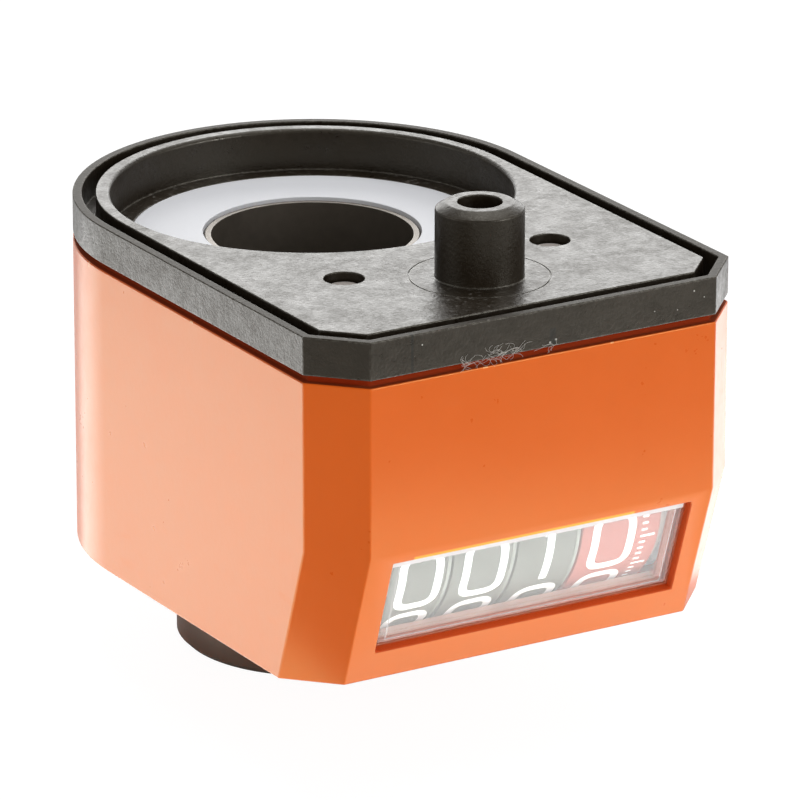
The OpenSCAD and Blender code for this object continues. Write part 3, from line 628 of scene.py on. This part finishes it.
def material(name):
    """A material of the object by name, made when it is first asked for."""
    tint = colours()
    makers = {
        "case": lambda: solid_material(
            "orange_moulding", tint.case, 0.3, 0.00045, tone=0.05, gloss=0.06, relief=0.006,
            ior=1.58, edge=0.25, edge_wear_and_highlight_colour=srgb(246, 150, 84), marks=0.25, tint=(1, 1, 0.4),
            # The last spot is a painted glow of light shining through the opening's thin upper wall
            painted_shade_on_case=True, spots=(*CASE_SPOTS, painted_window_glow())),
        "base": lambda: solid_material(
            "black_moulding", tint.base, 0.37, 0.00022, tone=0.5, gloss=0.24, relief=0.035,
            ior=1.48, edge=0.7, edge_wear_and_highlight_colour=srgb(150, 146, 136), dust=0.35, marks=0.15,
            edge_grain=0.0003, tint=(1, 0.96, 0.84), spots=BASE_SPOTS, patch=0.0032, dull_rim=0.62),
        "sleeve": lambda: solid_material(
            "blackened_steel", tint.sleeve, 0.34, 0.0002, tone=0.3, gloss=0.12, relief=0.006,
            metal=0.6, edge=0.45, edge_wear_and_highlight_colour=srgb(170, 166, 158), marks=0.6),
        "acetal": lambda: solid_material(
            "white_acetal", tint.acetal, 0.5, 0.0006, tone=0.04, gloss=0.06, relief=0.005, ior=1.35,
            dust=0.05, marks=0.15),
        "dark_drum": lambda: solid_material(
            "grey_drum", tint.dark_drum, 0.5, 0.0004, tone=0.06, gloss=0.08, relief=0.006),
        "red_drum": lambda: solid_material(
            "red_drum", tint.red_drum, 0.5, 0.0004, tone=0.06, gloss=0.08, relief=0.006),
        "ink": lambda: solid_material(
            "white_print", tint.ink, 0.45, 0.0003, tone=0.03, gloss=0.06, relief=0.004, marks=0.0),
        "frame": lambda: solid_material(
            "grey_moulding", tint.frame, 0.45, 0.0005, tone=0.08, relief=0.01),
        "steel": lambda: solid_material(
            "bare_steel", tint.steel, 0.3, 0.00025, tone=0.12, gloss=0.1, relief=0.004,
            metal=1.0, edge=0.5, edge_wear_and_highlight_colour=srgb(226, 226, 222), marks=0.5),
        "plate": lambda: solid_material(
            "plate_steel", tint.plate, 0.4, 0.00025, tone=0.1, gloss=0.1, relief=0.004,
            metal=0.3, marks=0.3),
        "rubber": lambda: solid_material(
            "seal_rubber", tint.rubber, 0.62, 0.0003, tone=0.2, relief=0.01, dust=0.1),
        "lint": lambda: solid_material(
            "lint", tint.dust, 0.8, 0.0002, tone=0.25, relief=0.01, marks=0.0),
    }
    return makers[name]()


# Meshes

def add_object(name, mesh):
    piece = bpy.data.objects.new(name, mesh)
    bpy.context.scene.collection.objects.link(piece)
    return piece


def finish_piece(piece, body, surface, nodes=()):
    """Gives a piece its body and material, and hides the CAD nodes that it stands for."""
    piece.data.materials.clear()
    piece.data.materials.append(surface)
    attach(piece, body)
    if nodes:
        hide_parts(*nodes)
    return piece


def smooth_mesh(mesh):
    mesh.polygons.foreach_set("use_smooth", [True] * len(mesh.polygons))
    mesh.set_sharp_from_angle(angle=SMOOTH_ANGLE)


def body_of(node):
    for body, members in frame["record"]["behaviour"]["bodies"].items():
        if node in members:
            return body
    raise RuntimeError("no body holds " + node)


def cad_copy(node, name, edge, surface, skip=None, segments=3):
    """A piece in a CAD node's place: its mesh merged, with rounded edges."""
    bm = bmesh.new()
    bm.from_mesh(frame["nodes"][node].data)
    bmesh.ops.remove_doubles(bm, verts=bm.verts, dist=WELD)
    bmesh.ops.dissolve_limit(bm, angle_limit=FLAT_ANGLE, verts=bm.verts, edges=bm.edges)
    sharp = [
        e for e in bm.edges
        if len(e.link_faces) == 2 and e.calc_face_angle() > SHARP_ANGLE and not (skip and skip(e))
    ]
    bmesh.ops.bevel(
        bm, geom=sharp, offset=edge, offset_type="OFFSET", affect="EDGES", segments=segments,
        profile=0.5, clamp_overlap=True, material=-1,
    )
    bmesh.ops.recalc_face_normals(bm, faces=bm.faces)
    mesh = bpy.data.meshes.new(name)
    bm.to_mesh(mesh)
    bm.free()
    smooth_mesh(mesh)
    piece = add_object(name, mesh)
    normals = piece.modifiers.new("Weighted normals", "WEIGHTED_NORMAL")
    normals.keep_sharp = True
    return finish_piece(piece, body_of(node), surface, [node])


def rounded_path(points, closed, radius, steps=6):
    """A path with rounded corners through 2D points."""
    path = []
    count = len(points)
    for index, point in enumerate(points):
        here = Vector(point)
        if not closed and index in (0, count - 1):
            path.append(here)
            continue
        before = Vector(points[index - 1])
        after = Vector(points[(index + 1) % count])
        reach = min(radius, (before - here).length * 0.49, (after - here).length * 0.49)
        start = here + (before - here).normalized() * reach
        end = here + (after - here).normalized() * reach
        for step in range(steps + 1):
            share = step / steps
            path.append(start.lerp(here, share).lerp(here.lerp(end, share), share))
    return path


def divided(path, closed, step):
    """The same path with no stretch longer than a step."""
    result = []
    ends = path[1:] + (path[:1] if closed else [])
    for start, end in zip(path, ends):
        parts = max(1, math.ceil((end - start).length / step))
        result += [start.lerp(end, part / parts) for part in range(parts)]
    return result if closed else result + [path[-1]]


def tube_curve(name, dimensions, thickness, resolution):
    """An empty curve whose splines become tubes."""
    curve = bpy.data.curves.new(name, "CURVE")
    curve.dimensions = dimensions
    curve.bevel_depth = thickness / 2
    curve.bevel_resolution = resolution
    curve.use_fill_caps = True
    return curve


def curve_mesh(name, curve):
    """The mesh of a curve, which is then removed."""
    drawn = add_object(name + "_path", curve)
    graph = bpy.context.evaluated_depsgraph_get()
    mesh = bpy.data.meshes.new_from_object(drawn.evaluated_get(graph))
    mesh.name = name
    bpy.data.objects.remove(drawn)
    bpy.data.curves.remove(curve)
    return mesh


def stroke_mesh(name, paths, width):
    """Round strokes along flat paths, as one mesh in the XY plane."""
    curve = tube_curve(name, "2D", width, 2)
    curve.fill_mode = "NONE"
    for closed, path in paths:
        spline = curve.splines.new("POLY")
        spline.points.add(len(path) - 1)
        for point, place in zip(spline.points, path):
            point.co = (place[0], place[1], 0, 1)
        spline.use_cyclic_u = closed
    mesh = curve_mesh(name, curve)
    bm = bmesh.new()
    bm.from_mesh(mesh)
    bmesh.ops.remove_doubles(bm, verts=bm.verts, dist=WELD / 10)
    bmesh.ops.recalc_face_normals(bm, faces=bm.faces)
    bm.to_mesh(mesh)
    bm.free()
    return mesh


def wrap_on_drum(mesh, axis, radius, width, rise):
    """Lays a flat stroke mesh on a drum: its X stays, and its Y runs up round the drum."""
    for vertex in mesh.vertices:
        along, up, out = vertex.co
        turn = up / radius
        reach = radius + rise * out / (width / 2)
        vertex.co = (
            along, axis.y - reach * math.cos(turn), axis.z + reach * math.sin(turn),
        )
    mesh.update()
    smooth_mesh(mesh)


def drum_radius():
    low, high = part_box("drum_2")
    return (high[2] - low[2]) / 2


def digit_paths(centre, shown):
    """Paths of the ten digits of a drum, laid out flat round its middle line."""
    size = sizes()
    radius = drum_radius()
    paths = []
    for value, strokes in enumerate(GLYPHS):
        turn = size.digit_turn + DIGIT_ANGLE * ((value - shown + 5) % 10 - 5)
        for closed, points in strokes:
            placed = [
                (centre + (x - 0.5) * size.digit_w, turn * radius + (y - 0.5) * size.digit_h)
                for x, y in points
            ]
            path = rounded_path(placed, closed, size.digit_corner)
            paths.append((closed, divided(path, closed, PRINT_STEP)))
    return paths


def tick_paths():
    """Paths of the graduation: ticks all round the last drum's right end, each fifth one long."""
    size = sizes()
    radius = drum_radius()
    paths = []
    for index in range(TICK_COUNT):
        turn = size.digit_turn + TICK_ANGLE * index
        length = size.tick_long if index % 5 == 0 else size.tick_short
        start = Vector((size.tick_start, turn * radius))
        end = start + Vector((length, 0))
        paths.append((False, divided([start, end], False, PRINT_STEP)))
    return paths


# Operators

class INDICATOR_OT_stage(bpy.types.Operator):
    """Adds the floor, the soft lights and the camera at the photograph's angle"""

    bl_idname = "indicator.stage"
    bl_label = "Stage"

    def execute(self, context):
        settings = stage_settings()
        context.scene.view_settings.view_transform = "Standard"
        self.add_camera(context.scene, settings)
        self.add_floor(settings)
        self.add_world(context.scene, settings)
        self.add_lamps(settings)
        return {"FINISHED"}

    @staticmethod
    def add_lamps(settings):
        """Adds the lamps: name, power, width, height, place, aim and the light that they give."""
        middle = Vector((0, -8, 18)) * MM
        up = Vector((0, 0, 1))
        for name, power, width, height, place, target, kind in (
            ("top_light", settings.top_power, 0.24, 0.24, (0.07, 0.04, 0.3), middle, "all"),
            ("right_light", settings.right_power, 0.3, 0.2, (0.26, -0.37, 0.15), middle, "all"),
            ("left_light", settings.left_power, 0.2, 0.16, (-0.26, 0.06, 0.1), middle, "gloss"),
            ("corner_light", settings.corner_power, 0.2, 0.2, (-0.24, -0.36, 0.12), middle, "diffuse"),
            ("back_light", settings.back_power, 0.62, 0.34, (0.29, 0.49, 0.23), middle, "all"),
            ("back_shine", settings.back_shine, 0.62, 0.34, (0.292, 0.494, 0.231), middle, "gloss"),
            ("edge_light", settings.edge_power, 0.1, 0.1, (0.24, -0.41, 0.235), middle, "gloss"),
            ("table_light", settings.table_power, 0.07, 0.13, (-0.05, 0.036, 0.0006), up, "gloss"),
            ("side_table_light", settings.side_power, 0.07, 0.06, (0.065, 0.004, 0.0006), up, "gloss"),
            ("front_table_light", settings.front_power, 0.075, 0.04, (0.022, -0.047, 0.0006), up, "gloss"),
        ):
            lamp = bpy.data.lights.new(name, "AREA")
            lamp.shape = "RECTANGLE"
            lamp.size = width
            lamp.size_y = height
            lamp.energy = power
            holder = add_object(name, lamp)
            holder.location = place
            heading = up if target is up else target - Vector(place)
            holder.rotation_euler = heading.to_track_quat("-Z", "Y").to_euler()
            holder.visible_camera = False
            holder.visible_diffuse = kind != "gloss"
            holder.visible_glossy = kind != "diffuse"

    @staticmethod
    def add_camera(scene, settings):
        lens = bpy.data.cameras.new("camera")
        lens.sensor_width = 36
        lens.lens = settings.lens
        lens.clip_start = 0.01
        lens.clip_end = 20
        camera = add_object("camera", lens)
        ahead, side = math.cos(CAMERA_YAW), math.sin(CAMERA_YAW)
        flat = math.cos(CAMERA_PITCH)
        forward = Vector((side * flat, ahead * flat, -math.sin(CAMERA_PITCH)))
        level = Vector((ahead, -side, 0))
        upward = level.cross(forward)
        right = math.cos(CAMERA_ROLL) * level + math.sin(CAMERA_ROLL) * upward
        upright = math.cos(CAMERA_ROLL) * upward - math.sin(CAMERA_ROLL) * level
        turned = Matrix((right, upright, -forward)).transposed().to_4x4()
        camera.matrix_world = Matrix.Translation(CAMERA_PLACE) @ turned
        scene.camera = camera

    @staticmethod
    def seen_path(path, nodes):
        """1 where a camera or transmission ray looks, else 0."""
        return nodes.math("MAXIMUM", path["Is Camera Ray"], path["Is Transmission Ray"])

    def add_floor(self, settings):
        bm = bmesh.new()
        bmesh.ops.create_grid(bm, x_segments=8, y_segments=8, size=2.5)
        mesh = bpy.data.meshes.new("floor")
        bm.to_mesh(mesh)
        bm.free()
        floor = add_object("floor", mesh)
        paper, nodes = new_material("look_floor_paper")
        surface = shared(
            nodes, "Surface grain", grain_size=0.002, patch_size=0.3, tone_spread=0.01,
            roughness=0.7, roughness_spread=0.05,
        )
        shader = nodes.add("ShaderNodeBsdfPrincipled", {
            "Base Color": (0.86, 0.86, 0.86, 1), "Roughness": surface["Roughness"],
            "Specular IOR Level": 0.2,
        })
        glow = nodes.add("ShaderNodeEmission", {"Color": (1, 1, 1, 1), "Strength": 1.12})
        seen = self.seen_path(nodes.add("ShaderNodeLightPath").outputs, nodes)
        both = nodes.add("ShaderNodeMixShader", {
            0: nodes.math("MULTIPLY", seen, settings.floor_glow),
            1: shader.outputs[0], 2: glow.outputs[0],
        })
        nodes.add("ShaderNodeOutputMaterial", {"Surface": both.outputs[0]})
        mesh.materials.append(paper)

    def add_world(self, scene, settings):
        world = bpy.data.worlds.new("surround")
        world.use_nodes = True
        world.node_tree.nodes.clear()
        nodes = Nodes(world.node_tree)
        path = nodes.add("ShaderNodeLightPath").outputs
        lit = nodes.span(path["Is Glossy Ray"], 0.0, 1.0, settings.fill, settings.gloss_fill)
        strength = nodes.math("MAXIMUM", lit, self.seen_path(path, nodes))
        light = nodes.add("ShaderNodeBackground", {"Color": (1, 1, 1, 1), "Strength": strength})
        nodes.add("ShaderNodeOutputWorld", {"Surface": light.outputs[0]})
        scene.world = world


class INDICATOR_OT_case(bpy.types.Operator):
    """Builds the orange case with its rounded edges"""

    bl_idname = "indicator.case"
    bl_label = "Case"

    def execute(self, context):
        cad_copy("case", "case_shell", sizes().case_edge, material("case"))
        return {"FINISHED"}


class INDICATOR_OT_base(bpy.types.Operator):
    """Builds the black base with its torque pin"""

    bl_idname = "indicator.base"
    bl_label = "Base"

    def execute(self, context):
        pin = Vector(PIN_PLACE)
        inner, outer = WITNESS_RING

        def on_witness_ring(edge):
            return all(inner < (v.co.xy - pin).length < outer for v in edge.verts)

        cad_copy(
            "base", "base_plate", sizes().base_edge, material("base"),
            skip=on_witness_ring,
        )
        return {"FINISHED"}


class INDICATOR_OT_window(bpy.types.Operator):
    """Builds the clear pane in the slanted face"""

    bl_idname = "indicator.window"
    bl_label = "Window"

    def execute(self, context):
        cad_copy(
            "window", "window_pane", sizes().pane_edge, pane_material(), segments=1,
        )
        return {"FINISHED"}


class INDICATOR_OT_rear_ring(bpy.types.Operator):
    """Builds the white rear ring and the shaft seal"""

    bl_idname = "indicator.rear_ring"
    bl_label = "Rear ring and seal"

    def execute(self, context):
        edge = sizes().small_edge
        cad_copy("rear_bearing_ring", "rear_ring", edge, material("acetal"))
        cad_copy("shaft_seal", "seal_cord", edge, material("rubber"))
        return {"FINISHED"}


class INDICATOR_OT_shaft(bpy.types.Operator):
    """Builds the hollow shaft with its set screw and retaining ring"""

    bl_idname = "indicator.shaft"
    bl_label = "Hollow shaft"

    def execute(self, context):
        edge = sizes().small_edge
        cad_copy("hollow_shaft", "shaft_sleeve", edge, material("sleeve"))
        cad_copy("set_screw", "grub_screw", edge, material("sleeve"))
        cad_copy("retaining_ring", "spring_ring", edge, material("steel"))
        return {"FINISHED"}


class INDICATOR_OT_drums(bpy.types.Operator):
    """Builds the four number drums"""

    bl_idname = "indicator.drums"
    bl_label = "Number drums"

    def execute(self, context):
        for node in DIGITS_SHOWN:
            red = node == "drum_1"
            surface = material("red_drum" if red else "dark_drum")
            cad_copy(node, node + "_body", sizes().small_edge, surface, segments=2)
        return {"FINISHED"}


class INDICATOR_OT_digits(bpy.types.Operator):
    """Prints ten white digits round each number drum"""

    bl_idname = "indicator.digits"
    bl_label = "Digits"

    def execute(self, context):
        size = sizes()
        low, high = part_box("drum_2")
        digit_band = high[0] - low[0]
        axis = joint_place("drum_1_spin")
        for node, shown in DIGITS_SHOWN.items():
            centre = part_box(node)[0][0] + digit_band / 2 + size.digit_shift
            mesh = stroke_mesh(node + "_digits", digit_paths(centre, shown), size.stroke)
            wrap_on_drum(mesh, axis, drum_radius(), size.stroke, size.ink_t)
            finish_piece(add_object(node + "_digits", mesh), body_of(node), material("ink"))
        return {"FINISHED"}


class INDICATOR_OT_graduation(bpy.types.Operator):
    """Prints the graduation at the red drum's right end"""

    bl_idname = "indicator.graduation"
    bl_label = "Graduation"

    def execute(self, context):
        size = sizes()
        mesh = stroke_mesh("drum_1_ticks", tick_paths(), size.tick_stroke)
        axis = joint_place("drum_1_spin")
        wrap_on_drum(mesh, axis, drum_radius(), size.tick_stroke, size.ink_t)
        ticks = add_object("drum_1_ticks", mesh)
        finish_piece(ticks, body_of("drum_1"), material("ink"))
        return {"FINISHED"}


class INDICATOR_OT_inner_parts(bpy.types.Operator):
    """Builds the counter frame, the plates, the shafts and the gears"""

    bl_idname = "indicator.inner_parts"
    bl_label = "Inner parts"

    def execute(self, context):
        edge = sizes().small_edge
        cad_copy("counter_frame", "frame_body", edge, material("frame"))
        for index in (1, 2, 3):
            plate, pinion = "transfer_plate_%d" % index, "transfer_pinion_%d" % index
            cad_copy(plate, "plate_%d" % index, edge / 2, material("plate"))
            cad_copy(pinion, "carry_%d_body" % index, edge / 2, material("acetal"))
        for node, name in (("cross_shaft", "cross_rod"), ("counter_axle", "axle_rod")):
            cad_copy(node, name, edge, material("steel"))
        for node, name in (("spur_pinion", "spur_pinion_body"), ("counter_gear", "spur_wheel")):
            cad_copy(node, name, edge / 2, material("acetal"))
        for node in ("drive_gear", "helical_pinion"):
            gear = frame["nodes"][node]
            gear.data.materials.clear()
            gear.data.materials.append(material("acetal"))
        return {"FINISHED"}


class INDICATOR_OT_lint(bpy.types.Operator):
    """Adds the lint that hangs at the base's lower front edge"""

    bl_idname = "indicator.lint"
    bl_label = "Lint"

    fibres: IntProperty(name="Fibres", description="Number of fibres", default=66, min=1)
    seed: IntProperty(name="Seed", description="Start of the random draws", default=7)

    @staticmethod
    def fibre_start(draw, index):
        """Where a fibre begins, in millimetres from the middle and up from the base's band."""
        if index % 10 == 9:
            return draw.uniform(0.3, 1.2), draw.uniform(0.0, 0.35)
        if index % 3:
            return draw.triangular(-5.2, -1.4, -3.0), draw.triangular(0.0, 0.62, 0.2)
        return draw.triangular(-7.8, -3.4, -5.0), draw.uniform(-0.12, 0.1)

    def execute(self, context):
        draw = random.Random(self.seed)
        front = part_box("base")[0][1]
        band_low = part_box("case")[1][2]
        nearest, farthest = front - 0.02 * MM, front - 0.08 * MM
        curve = tube_curve("lint_fibres", "3D", sizes().lint_t, 1)
        for index in range(self.fibres):
            across, up = self.fibre_start(draw, index)
            place = Vector((across * MM, front - 0.03 * MM, band_low + up * MM))
            heading = draw.uniform(0, 2 * math.pi)
            bend = draw.uniform(-0.5, 0.5)
            spline = curve.splines.new("POLY")
            count = draw.randint(7, 16)
            spline.points.add(count - 1)
            for point in spline.points:
                point.co = (*place, 1)
                bend = 0.75 * bend + draw.uniform(-0.2, 0.2)
                heading += bend
                place = place + Vector((
                    math.cos(heading), draw.uniform(-0.12, 0.1), 0.6 * math.sin(heading)
                )) * 0.1 * MM
                place.y = max(min(place.y, nearest), farthest)
        mesh = curve_mesh("lint_fibres", curve)
        smooth_mesh(mesh)
        finish_piece(
            add_object("lint_fibres", mesh), body_of("base"), material("lint")
        )
        return {"FINISHED"}


class INDICATOR_PT_panel(bpy.types.Panel):
    """Lists the steps that build the indicator's looks"""

    bl_idname = "INDICATOR_PT_panel"
    bl_label = "Position indicator"
    bl_space_type = "VIEW_3D"
    bl_region_type = "UI"
    bl_category = "Indicator"

    def draw(self, context):
        for step in STEPS:
            self.layout.operator(step.bl_idname)


STEPS = (
    INDICATOR_OT_stage, INDICATOR_OT_case, INDICATOR_OT_base, INDICATOR_OT_window,
    INDICATOR_OT_rear_ring, INDICATOR_OT_shaft, INDICATOR_OT_drums, INDICATOR_OT_digits,
    INDICATOR_OT_graduation, INDICATOR_OT_inner_parts, INDICATOR_OT_lint,
)
SETTINGS = {
    "indicator_colours": IndicatorColours,
    "indicator_sizes": IndicatorSizes,
    "indicator_stage": IndicatorStage,
}


def register():
    for group in SETTINGS.values():
        bpy.utils.register_class(group)
    for name, group in SETTINGS.items():
        setattr(bpy.types.Scene, name, PointerProperty(type=group))
    for step in STEPS:
        bpy.utils.register_class(step)
    bpy.utils.register_class(INDICATOR_PT_panel)


def unregister():
    bpy.utils.unregister_class(INDICATOR_PT_panel)
    for step in reversed(STEPS):
        bpy.utils.unregister_class(step)
    for name, group in SETTINGS.items():
        delattr(bpy.types.Scene, name)
        bpy.utils.unregister_class(group)


def main():
    register()
    for step in STEPS:
        area, name = step.bl_idname.split(".")
        getattr(getattr(bpy.ops, area), name)()


if __name__ == "__main__":
    main()
